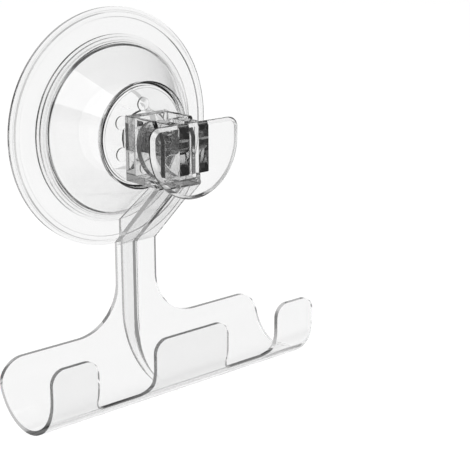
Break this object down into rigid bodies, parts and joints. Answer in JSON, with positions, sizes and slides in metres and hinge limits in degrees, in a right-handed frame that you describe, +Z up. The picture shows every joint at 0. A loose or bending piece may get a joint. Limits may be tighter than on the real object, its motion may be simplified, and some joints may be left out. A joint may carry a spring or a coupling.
{
  "type": "suction cup hook",
  "caption": "Clear suction cup hook with a cam lever lock and a channel-shaped rail cut into prongs, for hanging things on a smooth wall.",
  "frame": {"origin": "centre of the cup's face on the wall", "axes": "+Y into the wall, +Z up, +X along the channel"},
  "size_m": [0.1156, 0.048, 0.1332],
  "materials": {
    "soft_clear": "soft clear plastic, smooth and slightly milky",
    "rigid_clear": "hard clear plastic, polished"
  },
  "bodies": {
    "cup_side": {"suction_cup": "soft_clear", "stem": "rigid_clear", "pivot_pin": "rigid_clear"},
    "cover_side": {"dome_cover": "rigid_clear", "hook_arm": "rigid_clear"},
    "lever_side": {"lever": "rigid_clear"}
  },
  "joints": [
    {"name": "lever_hinge", "type": "hinge", "parent": "cup_side", "child": "lever_side", "pos_m": [0, -0.0343, -0.0005], "axis": [-1, 0, 0], "range_deg": [0, 90]},
    {"name": "cover_slide", "type": "slide", "parent": "cup_side", "child": "cover_side", "axis": [0, -1, 0], "range_m": [0, 0.002]}
  ],
  "couplings": [
    {"joint": "lever_hinge", "follows": "cover_slide", "rad_per_m": 785.4}
  ]
}
